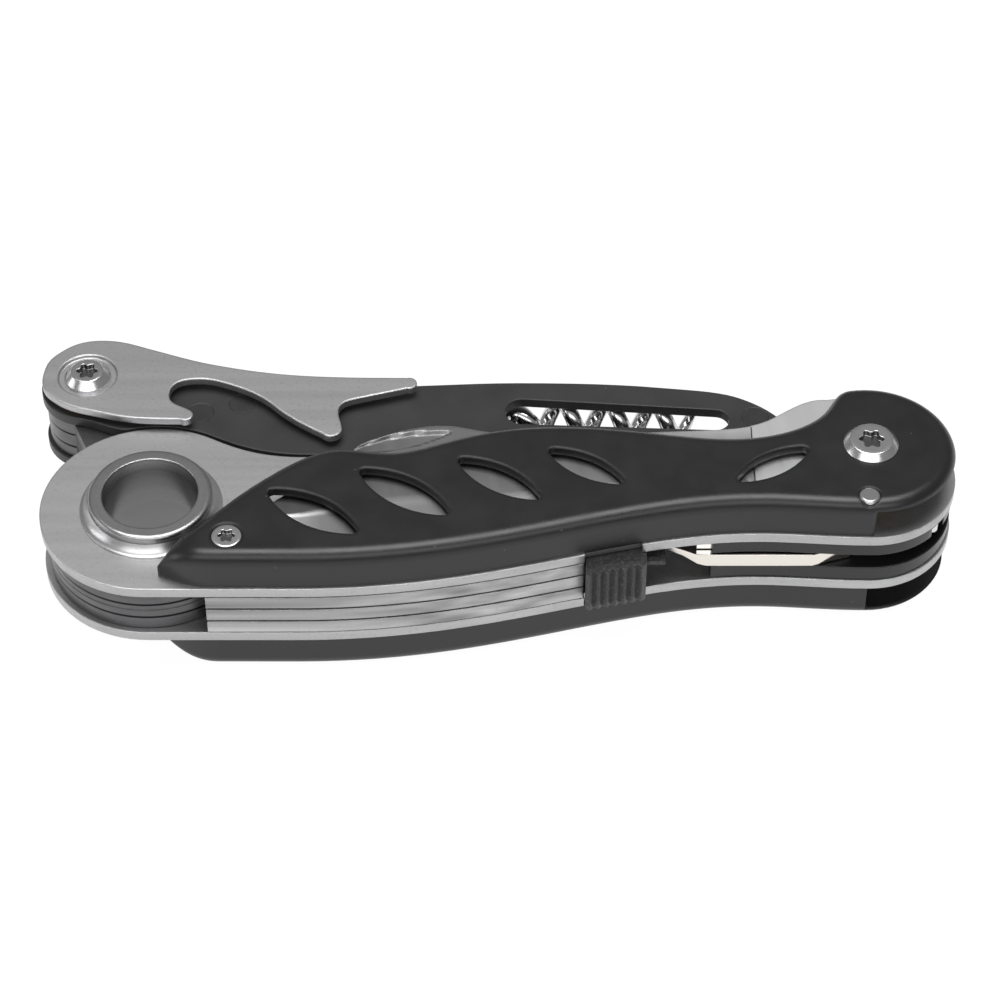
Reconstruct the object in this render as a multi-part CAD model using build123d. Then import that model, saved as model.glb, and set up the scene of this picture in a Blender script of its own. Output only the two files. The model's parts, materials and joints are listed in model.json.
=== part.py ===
from build123d import *
import os
from math import atan2, cos, degrees, hypot, radians, sin

# A two-handled folding multi tool, closed and lying flat. Millimetres, +X towards the knife pivot,
# +Y towards the rear handle, +Z up. The origin is the middle of the footprint, on the table.

# ---------------------------------------------------------------- outlines (plan view)
overall_length = 108.0
overall_width = 39.2
eyelet_end_radius = 12.9    # round left end of the front handle
knife_end_radius = 10.2     # round right end of the front handle
lever_end_radius = 5.6      # round left end of the rear handle
lever_crown = 6.1           # how far the lever stands out past its axis, at the far side
tang_run = 9.0              # from the eyelet's axis back to the lever's axis, along the handle
knife_rise = 5.3            # from the eyelet's axis to the knife's axis, across the handle
far_edge_rise = 8.2         # from the eyelet's axis to the front handle's straight far edge
handle_gap = 0.4            # between the two closed handles
waist_dx = -12.3            # narrowest point of the front handle, from the knife axis
waist_dy = -9.6

# ---------------------------------------------------------------- heights
scale_height = 5.0
scale_plate = 1.1
scale_wall = 1.1
scale_rim_radius = 1.5
scale_inset = 0.3           # the scales stand this far inside the liners' edge
liner_thickness = 1.3
pack_height = 6.0           # between the liners, three layers of tools
layers = 3
blade_thickness = 1.4
blade_drop = 0.55             # from the scale's plate down to the blade
running_gap = 0.05          # between sliding faces, and round a pivot

# ---------------------------------------------------------------- pivots
eyelet_bore_radius = 5.55
eyelet_wall = 0.85
eyelet_lip_radius = 7.2
eyelet_lip_height = 1.0
boss_radius = 8.25
boss_height = 1.3
hub_radius = 12.2
barrel_radius = 2.5
shank_radius = 1.4
washer_radius = 4.6
knife_head_radius = 3.2
lever_head_radius = 2.75
head_height = 0.9
head_chamfer = 0.7
lever_head_height = 1.2
lever_head_chamfer = 0.85
recess_radius = 1.3
stop_pin_radius = 1.18
scale_screw_radius = 1.8
standoff_radius = 2.2

# ---------------------------------------------------------------- tools
jaw_length = 37.0
jaw_root_width = 4.8
jaw_tip_width = 1.6
lap_gap = 0.05
tang_eye_radius = 5.2
tang_half_width = 3.4
nick_depth = 0.45
blade_tip_gap = 12.4         # from the eyelet's axis to the closed blade's tip
lever_thickness = 1.0
lever_lift = 0.75
lever_dish = 0.45
driver_thickness = 1.8
driver_width = 3.6
driver_reach = 24.7
slider_length = 7.0
slider_depth = 4.2
rib_count = 7
rib_depth = 0.45
spring_width = 2.6
worm_radius = 2.85
worm_wire_radius = 0.8
worm_pitch = 5.65
worm_turns = 4.0
worm_tilt = -2.3
worm_shank = 4.4
worm_pin_radius = 1.2
window_length = 26.6
window_width = 4.2            # at its left end
window_tip_width = 3.4
window_drop = 1.4             # how far its right end lies nearer than its left end
rivet_radius = 1.55

# ---------------------------------------------------------------- axes, in plan
LEVER = (lever_end_radius - overall_length / 2, overall_width / 2 - lever_crown)
EYELET = (LEVER[0] + tang_run, eyelet_end_radius - overall_width / 2)
KNIFE = (overall_length / 2 - knife_end_radius, EYELET[1] + knife_rise)
front_far_y = EYELET[1] + far_edge_rise
near_y = EYELET[1] - eyelet_end_radius
STOP_PIN = (KNIFE[0] - 0.8, KNIFE[1] - 8.2)
SCALE_SCREW = (EYELET[0] + 9.5, EYELET[1] - 9.2)
stretch = (KNIFE[0] - EYELET[0]) / 83.2
WORM = (LEVER[0] + 47.4 * stretch, LEVER[1] - 2.7)
WINDOW = (LEVER[0] + 49.9 * stretch, LEVER[1] - 4.4)
REAR_RIVETS = [(EYELET[0] + 4.7, LEVER[1] - 4.6), (EYELET[0] + 9.6, LEVER[1] - 3.0)]
TIP_RIVET = (KNIFE[0] - 12.6, LEVER[1] - 5.3)

# ---------------------------------------------------------------- levels worked out from the heights
lower_liner_z = scale_height
pack_z = lower_liner_z + liner_thickness
upper_liner_z = pack_z + pack_height
upper_scale_z = upper_liner_z + liner_thickness
top_z = upper_scale_z + scale_height
mid_z = pack_z + pack_height / 2
layer_height = pack_height / layers
upper_plate_z = top_z - scale_plate
blade_z = upper_plate_z - blade_drop - blade_thickness
lever_z = upper_scale_z + lever_lift
driver_z = mid_z - driver_thickness / 2 + 0.1
block_left = KNIFE[0] - 18.5
tube_radius = eyelet_bore_radius + eyelet_wall
far = 200.0


def at(centre, radius, angle):
    """The point at a radius and an angle in degrees round a centre."""
    return (centre[0] + radius * cos(radians(angle)), centre[1] + radius * sin(radians(angle)))


def heading(angle):
    """Unit direction at an angle in degrees."""
    return (cos(radians(angle)), sin(radians(angle)))


def arc(centre, radius, start, end):
    """An arc round a centre, from one angle to another in degrees, either way round."""
    middle = at(centre, radius, (start + end) / 2)
    return ThreePointArc(at(centre, radius, start), middle, at(centre, radius, end))


def outline(*curves):
    """A face bounded by curves that follow each other."""
    return make_face([edge for curve in curves for edge in curve.edges()])


def flow(*knots):
    """Smooth curves through knots, each a point and the heading there in degrees."""
    return [Spline([a[:2], b[:2]], tangents=[heading(a[2]), heading(b[2])]) for a, b in zip(knots, knots[1:])]


def prism(face, low, high):
    """A flat outline raised from one height to another."""
    return Pos(0, 0, low) * extrude(face, high - low)


def disc(centre, radius, low, high):
    """A round bar or disc along Z."""
    return Pos(centre[0], centre[1], (low + high) / 2) * Cylinder(radius, high - low)


def ring(centre, inner, outer, low, high):
    """A washer or tube along Z."""
    return disc(centre, outer, low, high) - disc(centre, inner, low - 1, high + 1)


def box(x0, x1, y0, y1, z0, z1):
    """A box by its limits."""
    return Pos((x0 + x1) / 2, (y0 + y1) / 2, (z0 + z1) / 2) * Box(x1 - x0, y1 - y0, z1 - z0)


def torx(centre, radius, low, high):
    """A six-lobed driver recess: a round hole with six small lobes round it."""
    star = disc(centre, radius * 0.78, low, high)
    for lobe in range(6):
        star += disc(at(centre, radius * 0.72, 60 * lobe), radius * 0.28, low, high)
    return star


# ---------------------------------------------------------------- front handle outlines
def near_edge(inset):
    """The long near edge, from below the knife axis, over the waist, to below the eyelet."""
    right = (KNIFE[0], KNIFE[1] - knife_end_radius + inset)
    waist = (KNIFE[0] + waist_dx, KNIFE[1] + waist_dy + inset)
    left = (EYELET[0] + 17.0, near_y + inset)
    return Spline([right, waist, left], tangents=[(-1, 0), (-1, 0)])


def liner_outline():
    """Both liners: two round ends, a straight far edge that flares to the knife end, a waisted near edge."""
    shoulder = at(EYELET, eyelet_end_radius, 60)
    level = (EYELET[0] + 17.0, front_far_y)
    flare = (KNIFE[0] - 14.0, front_far_y)
    crown = at(KNIFE, knife_end_radius, 112)
    near = near_edge(0)
    return outline(
        arc(EYELET, eyelet_end_radius, 270, 60),
        Spline([shoulder, level], tangents=[heading(-30), (1, 0)]),
        Line(level, flare),
        Spline([flare, crown], tangents=[(1, 0), heading(22)]),
        arc(KNIFE, knife_end_radius, 112, -90),
        near,
        Line(near @ 1, at(EYELET, eyelet_end_radius, 270)))


def scale_outline():
    """Both scales: the liner's near edge, the knife end, and a far edge with a thumb hollow."""
    radius = knife_end_radius - scale_inset
    near = near_edge(scale_inset)
    crown = at(KNIFE, radius, 100)
    tip = (EYELET[0] + 1.6, near_y + 2.1)
    foot = (EYELET[0] + 8.0, near_y + scale_inset + 0.02)
    hollow = [crown, (KNIFE[0] - 4.6, KNIFE[1] + 6.6), (KNIFE[0] - 8.0, KNIFE[1] + 3.6),
              (KNIFE[0] - 13.5, KNIFE[1] + 1.9), (EYELET[0] + 57.4 * stretch, front_far_y - 0.1),
              (EYELET[0] + 39.4 * stretch, front_far_y), (EYELET[0] + 33.4 * stretch, front_far_y - 1.9),
              (EYELET[0] + 27.9 * stretch, front_far_y - 3.5),
              (EYELET[0] + 21.4 * stretch, front_far_y - 3.0),
              (EYELET[0] + 14.0 * stretch, EYELET[1] + 1.2), (EYELET[0] + 9.0, EYELET[1] - 3.6),
              (EYELET[0] + 5.4, EYELET[1] - 7.4), tip]
    far_edge = Spline(hollow, tangents=[heading(190), heading(-128)])
    toe = Spline([foot, tip], tangents=[(-1, 0), heading(152)])
    return outline(arc(KNIFE, radius, 100, -90), near, Line(near @ 1, foot), toe, far_edge)


def lens(centre, length, width, angle):
    """A lens-shaped slot with softened ends."""
    bow = width / 2
    radius = (length ** 2 / 4 + bow ** 2) / (2 * bow)
    one = Pos(0, radius - bow) * Circle(radius)
    two = Pos(0, bow - radius) * Circle(radius)
    shape = one & two
    return Pos(*centre) * Rot(0, 0, angle) * fillet(shape.vertices(), 0.7)


def slots():
    """The five lens-shaped slots of a scale, each as centre, length, width and angle."""
    x, y = EYELET
    return [((x + 19.1 * stretch, y - 5.4), 13.2, 4.5, -32), ((x + 29.4 * stretch, y - 2.3), 13.4, 4.5, -34),
            ((x + 40.2 * stretch, y - 0.2), 12.4, 4.0, -34), ((x + 50.2 * stretch, y + 1.8), 11.2, 3.5, -32),
            ((KNIFE[0] - 11.5, KNIFE[1] - 3.2), 11.0, 3.5, 32)]


def scale_shell():
    """A scale with its flat side up: plate, one long wall on the near side, slots and screw holes."""
    shell = prism(scale_outline(), 0, scale_height)
    shell = fillet(shell.edges().group_by(Axis.Z)[-1], scale_rim_radius)
    inner = near_edge(scale_inset + scale_wall)
    wall_end = (KNIFE[0] - 0.1, KNIFE[1] - 2 * knife_end_radius)
    turn = (wall_end[0], (inner @ 0).Y)
    heel = (EYELET[0] + 8.6, (inner @ 1).Y)
    toe = (EYELET[0] + 5.2, EYELET[1] - boss_radius - 0.65)
    around = Polyline(inner @ 1, heel, toe, (-far, toe[1]), (-far, far), (far, far), (far, wall_end[1]),
                      wall_end, turn, inner @ 0)
    shell -= prism(outline(inner, around), -1, scale_height - scale_plate)
    for centre, length, width, angle in slots():
        shell -= prism(lens(centre, length, width, angle), 0, scale_height + 1)
    shell -= disc(SCALE_SCREW, scale_screw_radius + 0.02, 0, scale_height + 1)
    return shell - disc(KNIFE, barrel_radius + 0.02, 0, scale_height + 1)


def upper_scale():
    shell = Pos(0, 0, upper_scale_z) * scale_shell()
    return shell - disc(STOP_PIN, stop_pin_radius + 0.02, upper_scale_z, top_z + 1)


def lower_scale():
    return mirror(scale_shell(), Plane.XY.offset(scale_height / 2))


def liner(low):
    """A steel liner with the eyelet, knife, screw and rivet holes."""
    plate = prism(liner_outline(), low, low + liner_thickness)
    plate -= disc(EYELET, tube_radius + 0.02, low - 1, low + 3)
    plate -= disc(KNIFE, barrel_radius + 0.02, low - 1, low + 3)
    plate -= disc(SCALE_SCREW, 1.02, low - 1, low + 3)
    for centre in spring_rivet_centres():
        plate -= disc(centre, 0.82, low - 1, low + 3)
    left = slider_left() - 0.1
    notch = liner_outline() - (liner_outline() & Pos(0, 0.8) * liner_outline())
    notch = notch & Pos(left + 3.3, near_y) * Rectangle(6.6, 2 * eyelet_end_radius)
    return plate - prism(notch, low - 1, low + 3)


# ---------------------------------------------------------------- eyelet
def pivot_eyelet():
    """The hollow rivet that the pliers turn on, with a rolled top lip."""
    top = upper_scale_z + boss_height + eyelet_lip_height
    bottom = lower_liner_z - boss_height - eyelet_lip_height
    lip = disc(EYELET, eyelet_lip_radius, top - eyelet_lip_height, top)
    lip = fillet(lip.edges().group_by(Axis.Z)[-1], 0.5)
    tube = disc(EYELET, tube_radius, bottom, top - eyelet_lip_height) + lip
    tube -= disc(EYELET, eyelet_bore_radius, bottom - 1, top + 1)
    return tube


def eyelet_clinch_ring():
    """The ring that is clinched on the eyelet's lower end."""
    bottom = lower_liner_z - boss_height - eyelet_lip_height
    return ring(EYELET, tube_radius + 0.02, eyelet_lip_radius, bottom, bottom + eyelet_lip_height)


def boss_washer(low):
    """The stepped washer between a liner and the eyelet's lip."""
    return ring(EYELET, tube_radius + 0.02, boss_radius, low, low + boss_height)


# ---------------------------------------------------------------- pliers
def jaw(side):
    """One jaw in plan, above the centre line for side 1 and below it for side -1."""
    x0 = EYELET[0] + tube_radius
    tip = EYELET[0] + jaw_length
    y = EYELET[1]
    flat = y + side * 0.04
    return outline(Polyline(
        (x0, flat), (tip, flat), (tip, y + side * jaw_tip_width),
        (EYELET[0] + hub_radius + 2, y + side * jaw_root_width),
        (x0, y + side * (jaw_root_width + 1)), (x0, flat)))


def teeth(side):
    """Gripping teeth: shallow grooves across a jaw's flat face, and a round pipe grip behind them."""
    cuts = []
    y = EYELET[1] + side * 0.04
    start = EYELET[0] + jaw_length - 12.5
    for number in range(13):
        groove = Pos(start + 0.95 * number, y, mid_z) * Rot(0, 0, 45) * Box(0.5, 0.5, pack_height + 1)
        cuts.append(groove)
    cuts.append(Pos(EYELET[0] + 19.5, y, mid_z) * Cylinder(2.6, pack_height + 1))
    return cuts


def half(side, low, high, other_low, other_high):
    """One plier half: its hub lap between low and high, and its full-height jaw outside the other's lap."""
    body = disc(EYELET, hub_radius, low, high)
    full = prism(jaw(side), pack_z + running_gap, upper_liner_z - running_gap)
    body += full - disc(EYELET, hub_radius + 0.15, other_low - 0.1, other_high + 0.1)
    for cut in teeth(side):
        body -= cut
    return body - disc(EYELET, tube_radius + running_gap, pack_z - 1, upper_liner_z + 1)


lap_low = (pack_z + running_gap, mid_z - lap_gap / 2)
lap_high = (mid_z + lap_gap / 2, upper_liner_z - running_gap)


def plier_half_lower():
    return half(1, *lap_low, *lap_high)


def plier_half_upper():
    """The half that has the tang: a bar from its hub to an eye on the lever axis."""
    body = half(-1, *lap_high, *lap_low)
    low, high = lap_low[0], lap_high[1]
    reach = hypot(LEVER[0] - EYELET[0], LEVER[1] - EYELET[1])
    angle = degrees(atan2(LEVER[1] - EYELET[1], LEVER[0] - EYELET[0]))
    bar = Pos(*EYELET) * Rot(0, 0, angle) * Pos(reach / 2, 0) * Rectangle(reach, 2 * tang_half_width)
    tang = prism(bar, low, high) + disc(LEVER, tang_eye_radius, low, high)
    tang -= disc(EYELET, hub_radius + 0.15, low - 1, lap_low[1] + lap_gap)
    tang -= disc(EYELET, tube_radius + running_gap, low - 1, high + 1)
    return body + tang - disc(LEVER, barrel_radius + running_gap, low - 1, high + 1)


# ---------------------------------------------------------------- front handle, inside
def spring_blank():
    """A back spring in plan: a strip along the handle's near edge."""
    band = liner_outline() - (liner_outline() & Pos(0, spring_width) * liner_outline())
    left = EYELET[0] + 6.9
    right = slider_left() - 0.2
    return band & Pos((left + right) / 2, near_y) * Rectangle(right - left, 2 * eyelet_end_radius)


def slider_left():
    return KNIFE[0] - 33.1


def slider_face_y(x):
    """How far out the slider's grip stands at a place along the handle."""
    return near_y + 3.2 + 0.24 * (x - slider_left())


def back_spring(layer):
    """One of the stacked back springs, with its rivet holes."""
    low = pack_z + layer * layer_height
    strip = prism(spring_blank(), low, low + layer_height - 0.03)
    for centre in spring_rivet_centres():
        strip -= disc(centre, 0.82, low - 1, low + 3)
    return strip


def spring_rivet_centres():
    return [(EYELET[0] + 12.0, near_y + spring_width / 2 + 0.1),
            (EYELET[0] + 22.5, near_y + spring_width / 2 + 0.3)]


def spring_rivets():
    """The rivets that hold the back springs between the liners."""
    return [disc(centre, 0.8, lower_liner_z, upper_scale_z) for centre in spring_rivet_centres()]


def tool_block():
    """The black block between the liners at the knife end, slotted for the screwdriver."""
    radius = knife_end_radius - 0.2
    near = near_edge(0.2)
    left = block_left
    inner_y = KNIFE[1] - 3.2
    inner = Polyline(near @ 1, (EYELET[0] + 17, inner_y), (KNIFE[0] - 12, inner_y),
                     (KNIFE[0] - 7, KNIFE[1] + 5.2), at(KNIFE, radius, 112))
    face = outline(arc(KNIFE, radius, 112, -90), near, inner) & Pos(left + 50, 0) * Rectangle(100, 60)
    block = prism(face, pack_z, upper_liner_z)
    slot_low = driver_z - 0.15
    slot_high = driver_z + driver_thickness + 0.15
    slot = box(left - 1, far, -far, far, slot_low, slot_high)
    slot -= box(-far, KNIFE[0] - 0.8, KNIFE[1] + 3.4, far, slot_low, slot_high)
    slot += disc(KNIFE, 5.6, slot_low, slot_high)
    block -= slot
    pin_centre = at(KNIFE, radius - 0.5, -38)
    block -= disc(pin_centre, 1.3, slot_high - 0.5, upper_liner_z - 0.6)
    return block - disc(KNIFE, barrel_radius + 0.02, pack_z - 1, upper_liner_z + 1)


def block_pins():
    """The small steel pin head in the block's notch, and the square peg at the block's left end."""
    slot_high = driver_z + driver_thickness + 0.15
    peg_y = KNIFE[1] + waist_dy + 0.7
    return [disc(at(KNIFE, knife_end_radius - 1.1, -38), 0.75, slot_high, upper_liner_z - 0.6),
            box(block_left - 1.7, block_left, peg_y, peg_y + 1.6, slot_high, upper_liner_z - 0.1)]


def screwdriver():
    """The flat screwdriver in the block's slot: an eye on the knife axis and an arm along the near edge."""
    face_y = KNIFE[1] + waist_dy - 0.2
    tip = KNIFE[0] - driver_reach
    high = driver_z + driver_thickness
    x, y = KNIFE
    arm = Polyline((tip, face_y + 2.1), (tip + 4.6, face_y), (x - 6.8, face_y), (x - 2.3, face_y + 1.4),
                   (x + 1.0, y - 4.8), (x - 1.0, y + 3.5), (x - 5.0, y + 2.4),
                   (x - 9.5, face_y + driver_width + 0.8), (tip + 5, face_y + driver_width),
                   (tip, face_y + driver_width - 0.3), (tip, face_y + 2.1))
    body = prism(outline(arm), driver_z, high) + disc(KNIFE, 5.0, driver_z, high)
    taper = Polyline((tip - 1, driver_z - 1), (tip + 5.6, driver_z - 1), (tip + 5.6, driver_z),
                     (tip + 3.0, driver_z + 0.9), (tip - 1, driver_z + 1.1), (tip - 1, driver_z - 1))
    body -= Pos(0, 20, 0) * extrude(Plane.XZ * outline(taper), 60)
    return body - disc(KNIFE, barrel_radius + running_gap, driver_z - 1, high + 1)


def lock_slider():
    """The ribbed slide lock: a grip that stands out of the near edge, and a thin tongue inside."""
    left = slider_left()
    step = slider_length / rib_count
    points = []
    for rib in range(rib_count):
        x = left + rib * step
        points += [(x, slider_face_y(x) + rib_depth), (x + step / 2, slider_face_y(x + step / 2))]
    right = left + slider_length
    back = slider_face_y(right) + slider_depth - 1.2
    points += [(right, slider_face_y(right) + rib_depth), (right, back), (left, back), points[0]]
    grip = prism(outline(Polyline(*points)), pack_z + running_gap, upper_liner_z - running_gap)
    tongue = box(right - 2, right + 2.2, back - 1.4, back + 1.6, upper_liner_z - 1.55, upper_liner_z - 1.05)
    rear = box(left + 0.6, right - 0.1, back - 0.2, back + 1.6, upper_liner_z - 1.55, upper_liner_z - 0.15)
    return grip + tongue + rear


# ---------------------------------------------------------------- knife
def main_blade():
    """The knife, closed: tip near the eyelet, spine with its opening bulge on the far side."""
    tip = (EYELET[0] + blade_tip_gap, EYELET[1] - 4.0)
    x, y = KNIFE
    hump = (tip[0] + 28.0, y + 3.6)
    spine = Spline([(x - 4.4, y + 9.0), (x - 7.6, y + 8.2), (x - 12.0, y + 5.3), (x - 18.0, y + 4.1),
                    (x - 25.8, y + 3.7), hump], tangents=[heading(172), heading(180)])
    bulge = Spline([hump, (tip[0] + 25.8, y + 3.9), (tip[0] + 22.4, y + 4.7), (tip[0] + 16.2, y + 3.9),
                    (tip[0] + 10.4, y + 0.8), (tip[0] + 5.0, y - 4.8), tip],
                   tangents=[heading(180), heading(222)])
    guard = near_edge(scale_inset + scale_wall + 0.5)
    heel = (x - 12.0, y - 7.4)
    choil = (x - 10.5, y - 5.2)
    edge = Spline([tip, (tip[0] + 9.0 * stretch, tip[1] - 4.3), (tip[0] + 20.0 * stretch, tip[1] - 4.9),
                   guard @ 0.57, guard @ 0.36, heel], tangents=[heading(-48), heading(6)])
    kick = at(KNIFE, 6.4, 218)
    crown = at(KNIFE, 9.6, 97)
    face = outline(spine, bulge, edge, Line(heel, choil), Line(choil, kick), arc(KNIFE, 6.4, 218, 450),
                   Line(at(KNIFE, 6.4, 90), crown), Line(crown, spine @ 0))
    body = prism(face, blade_z, blade_z + blade_thickness)
    top = blade_z + blade_thickness
    nick = prism(lens((tip[0] + 16.0, y + 2.1), 13.2, 2.5, 14), top - nick_depth, top + 1)
    return body - nick - disc(KNIFE, barrel_radius + running_gap, blade_z - 1, blade_z + 3)


def lock_leaf():
    """The flat spring under the knife that holds it open, along the scale's wall."""
    low = upper_scale_z
    strip = near_edge(scale_inset + scale_wall + 0.4)
    upper = near_edge(scale_inset + scale_wall + 3.4)
    face = outline(strip, upper, Line(strip @ 0, upper @ 0), Line(strip @ 1, upper @ 1))
    face = face & Pos(EYELET[0] + 41.4, 0) * Rectangle(48, 60)
    return prism(face, low, low + 1.0)


# ---------------------------------------------------------------- knife pivot and front fasteners
def knife_barrel():
    """The sleeve that the knife and the screwdriver turn on."""
    return ring(KNIFE, shank_radius + 0.02, barrel_radius, 0, top_z)


def chamfered_head(centre, radius, low, height, bevel):
    """A flat-topped screw head with a wide polished chamfer and a driver recess."""
    head = disc(centre, radius, low, low + height)
    head = chamfer(head.edges().group_by(Axis.Z)[-1], bevel)
    return head - torx(centre, recess_radius, low + height - 0.8, low + height + 1)


def knife_screw():
    shank = disc(KNIFE, shank_radius, 1.0, top_z)
    head = chamfered_head(KNIFE, knife_head_radius, top_z, head_height, head_chamfer)
    return shank + head


def knife_washers():
    """The spacer under the knife and the thin bearing washer above it."""
    inner = barrel_radius + 0.02
    under = ring(KNIFE, inner, washer_radius, upper_scale_z, blade_z - running_gap)
    over = ring(KNIFE, inner, washer_radius, blade_z + blade_thickness + running_gap, upper_plate_z)
    return [under, over]


def lower_pivot_spacer():
    """The spacer round the barrel in the lower scale."""
    return ring(KNIFE, barrel_radius + 0.02, washer_radius, scale_plate, lower_liner_z)


def stop_pin():
    """The knife's stop pin, from the upper liner up through the scale."""
    pin = disc(STOP_PIN, stop_pin_radius, upper_scale_z, top_z + 0.12)
    return chamfer(pin.edges().group_by(Axis.Z)[-1], 0.12)


def scale_screws():
    """The small flush screws of the upper and the lower scale."""
    head_low = top_z - 0.9
    upper = disc(SCALE_SCREW, scale_screw_radius, head_low, top_z - 0.02)
    upper += disc(SCALE_SCREW, 1.0, upper_liner_z, head_low)
    upper -= torx(SCALE_SCREW, 0.95, top_z - 0.6, top_z + 1)
    lower = disc(SCALE_SCREW, scale_screw_radius, 0.02, 0.9) + disc(SCALE_SCREW, 1.0, 0.9, pack_z)
    lower -= torx(SCALE_SCREW, 0.95, -1, 0.6)
    return [upper, lower]


def scale_standoffs():
    """The sleeves round the scale screws that keep each plate off its liner."""
    return [ring(SCALE_SCREW, 1.02, standoff_radius, upper_scale_z, upper_plate_z),
            ring(SCALE_SCREW, 1.02, standoff_radius, scale_plate, lower_liner_z)]


# ---------------------------------------------------------------- rear handle
def rear_outline():
    """Both rear plates: round lever end, a near edge that hugs the front handle, and a pointed right end."""
    hug = eyelet_end_radius + handle_gap
    inner_y = front_far_y + handle_gap
    top = at(LEVER, lever_end_radius, 82)
    hug_start = at(EYELET, hug, 105)
    hug_end = at(EYELET, hug, 62)
    level = (EYELET[0] + 17.6, inner_y)
    rise = (KNIFE[0] - 16.4, inner_y)
    point = (KNIFE[0] - 9.8, LEVER[1] - 5.5)
    foot = at(LEVER, lever_end_radius, 262)
    far_edge = flow((*point, 130), (KNIFE[0] - 14.3, LEVER[1] - 2.1, 154),
                    (KNIFE[0] - 23.8, LEVER[1] - 0.3, 173),
                    (WORM[0] + 4.0, LEVER[1] + 0.5, 180), (LEVER[0] + 30.4, LEVER[1] - 0.1, 177),
                    (LEVER[0] + 14.4, LEVER[1] + 2.1, 166), (*top, 172))
    return outline(
        arc(LEVER, lever_end_radius, 82, 262),
        Spline([foot, (LEVER[0] + 2.2, LEVER[1] - 6.6), hug_start], tangents=[heading(-8), heading(15)]),
        arc(EYELET, hug, 105, 62),
        Spline([hug_end, level], tangents=[heading(-28), (1, 0)]),
        Line(level, rise),
        Spline([rise, point], tangents=[heading(12), heading(50)]),
        *far_edge)


def window():
    """The long window that shows the corkscrew."""
    wide, slim = window_width / 2, window_tip_width / 2
    left = (WINDOW[0] + wide, WINDOW[1])
    right = (WINDOW[0] + window_length * stretch - slim, WINDOW[1] - window_drop)
    return make_hull((Pos(*left) * Circle(wide)).edges() + (Pos(*right) * Circle(slim)).edges())


def rear_plate(low):
    plate = prism(rear_outline(), low, low + liner_thickness)
    plate -= prism(window(), low - 1, low + 3)
    for centre in REAR_RIVETS + [TIP_RIVET]:
        plate -= disc(centre, rivet_radius + 0.02, low - 1, low + 3)
    return plate - disc(LEVER, barrel_radius + 0.02, low - 1, low + 3)


def rear_spring():
    """The rear handle's back spring: a riveted block behind the tang, and a leaf along the far edge."""
    x, y = LEVER
    leaf_end = x + 38.9 * stretch
    root = Polyline((x + 7.9, y - 3.9), (x + 10.8, y - 5.9), (x + 22.4, y - 5.3), (x + 26.4, y - 2.5),
                    (leaf_end, y - 1.4), (leaf_end, far), (x + 7.9, far), (x + 7.9, y - 3.9))
    face = outline(root) & Pos(0, -0.3) * rear_outline()
    body = prism(face, pack_z, upper_liner_z)
    for centre in REAR_RIVETS:
        body -= disc(centre, rivet_radius + 0.02, pack_z - 1, upper_liner_z + 1)
    return body


def rear_tip_spacer():
    """The spacer between the rear plates at their pointed end."""
    return ring(TIP_RIVET, rivet_radius + 0.02, rivet_radius + 0.8, pack_z, upper_liner_z)


def rear_rivets():
    """The flush rivets of the rear handle."""
    centres = REAR_RIVETS + [TIP_RIVET]
    return [disc(centre, rivet_radius, lower_liner_z, upper_scale_z - 0.02) for centre in centres]


def worm_pin():
    return disc(WORM, worm_pin_radius, pack_z, upper_liner_z)


def corkscrew():
    """The corkscrew: an eye on its pin, a shank, and a wire helix that ends in a point."""
    eye = disc(WORM, 2.4, mid_z - 2.2, mid_z + 2.2)
    along = Pos(WORM[0], WORM[1], mid_z) * Rot(0, 90, 0) * Rot(-worm_tilt, 0, 0)
    shank = along * Pos(0, 0, (worm_shank + 0.6) / 2) * Cylinder(1.5, worm_shank + 0.6)
    radius = worm_radius - worm_wire_radius
    pitch = worm_pitch * stretch
    helix = Helix(pitch, pitch * worm_turns, radius)
    wire = sweep(Plane(helix @ 0, z_dir=helix % 0) * Circle(worm_wire_radius), path=helix, is_frenet=True)
    coil = along * Pos(0, 0, worm_shank) * wire
    collar = along * Pos(0, 0, worm_shank) * Cylinder(radius + 0.6, 1.4)
    return eye + shank + collar + coil - disc(WORM, worm_pin_radius + running_gap, pack_z, upper_liner_z)


# ---------------------------------------------------------------- lever
def lever():
    """The bottle-opener lever: a round end on its screw, a hooked notch and a fish tail."""
    low, high = lever_z, lever_z + lever_thickness
    x, y = LEVER
    tip_top, tip_low = (x + 38.2, y - 0.4), (x + 38.2, y - 2.2)
    foot_right, foot_left = (x + 30.7, y - 9.2), (x + 28.4, y - 9.8)
    hook_right, hook_left = (x + 12.9, y - 6.2), (x + 11.6, y - 7.45)
    back = flow((x - 5.1, y + 1.6, 78), (x - 3.0, y + 4.6, 42), (x + 1.3, y + 6.1, 0),
                (x + 7.4, y + 4.5, -20), (x + 14.5, y + 2.0, -15), (x + 25.4, y, -5), (*tip_top, 0))
    upper_tip = ThreePointArc(tip_top, (x + 39.4, y - 1.3), tip_low)
    tail = flow((*tip_low, 200), (x + 33.2, y - 3.7, 198), (x + 30.2, y - 6.0, 268), (*foot_right, 268))
    lower_tip = ThreePointArc(foot_right, (x + 29.8, y - 10.25), foot_left)
    notch = flow((*foot_left, 148), (x + 22.6, y - 5.2, 132), (x + 17.0, y - 1.5, 158),
                 (x + 13.4, y - 0.6, 180), (x + 10.0, y - 3.2, 270), (*hook_right, 310))
    hook = ThreePointArc(hook_right, (x + 12.9, y - 7.2), hook_left)
    near = flow((*hook_left, 180), (x + 6.8, y - 7.3, 176), (x + 1.6, y - 6.2, 164), (x - 3.2, y - 4.2, 140),
                (x - 5.3, y - 1.2, 98), (x - 5.1, y + 1.6, 78))
    body = prism(outline(*back, upper_tip, *tail, lower_tip, *notch, hook, *near), low, high)
    body -= disc(LEVER, 3.5, high - lever_dish, high + 1)
    return body - disc(LEVER, barrel_radius + running_gap, low - 1, high + 1)


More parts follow.
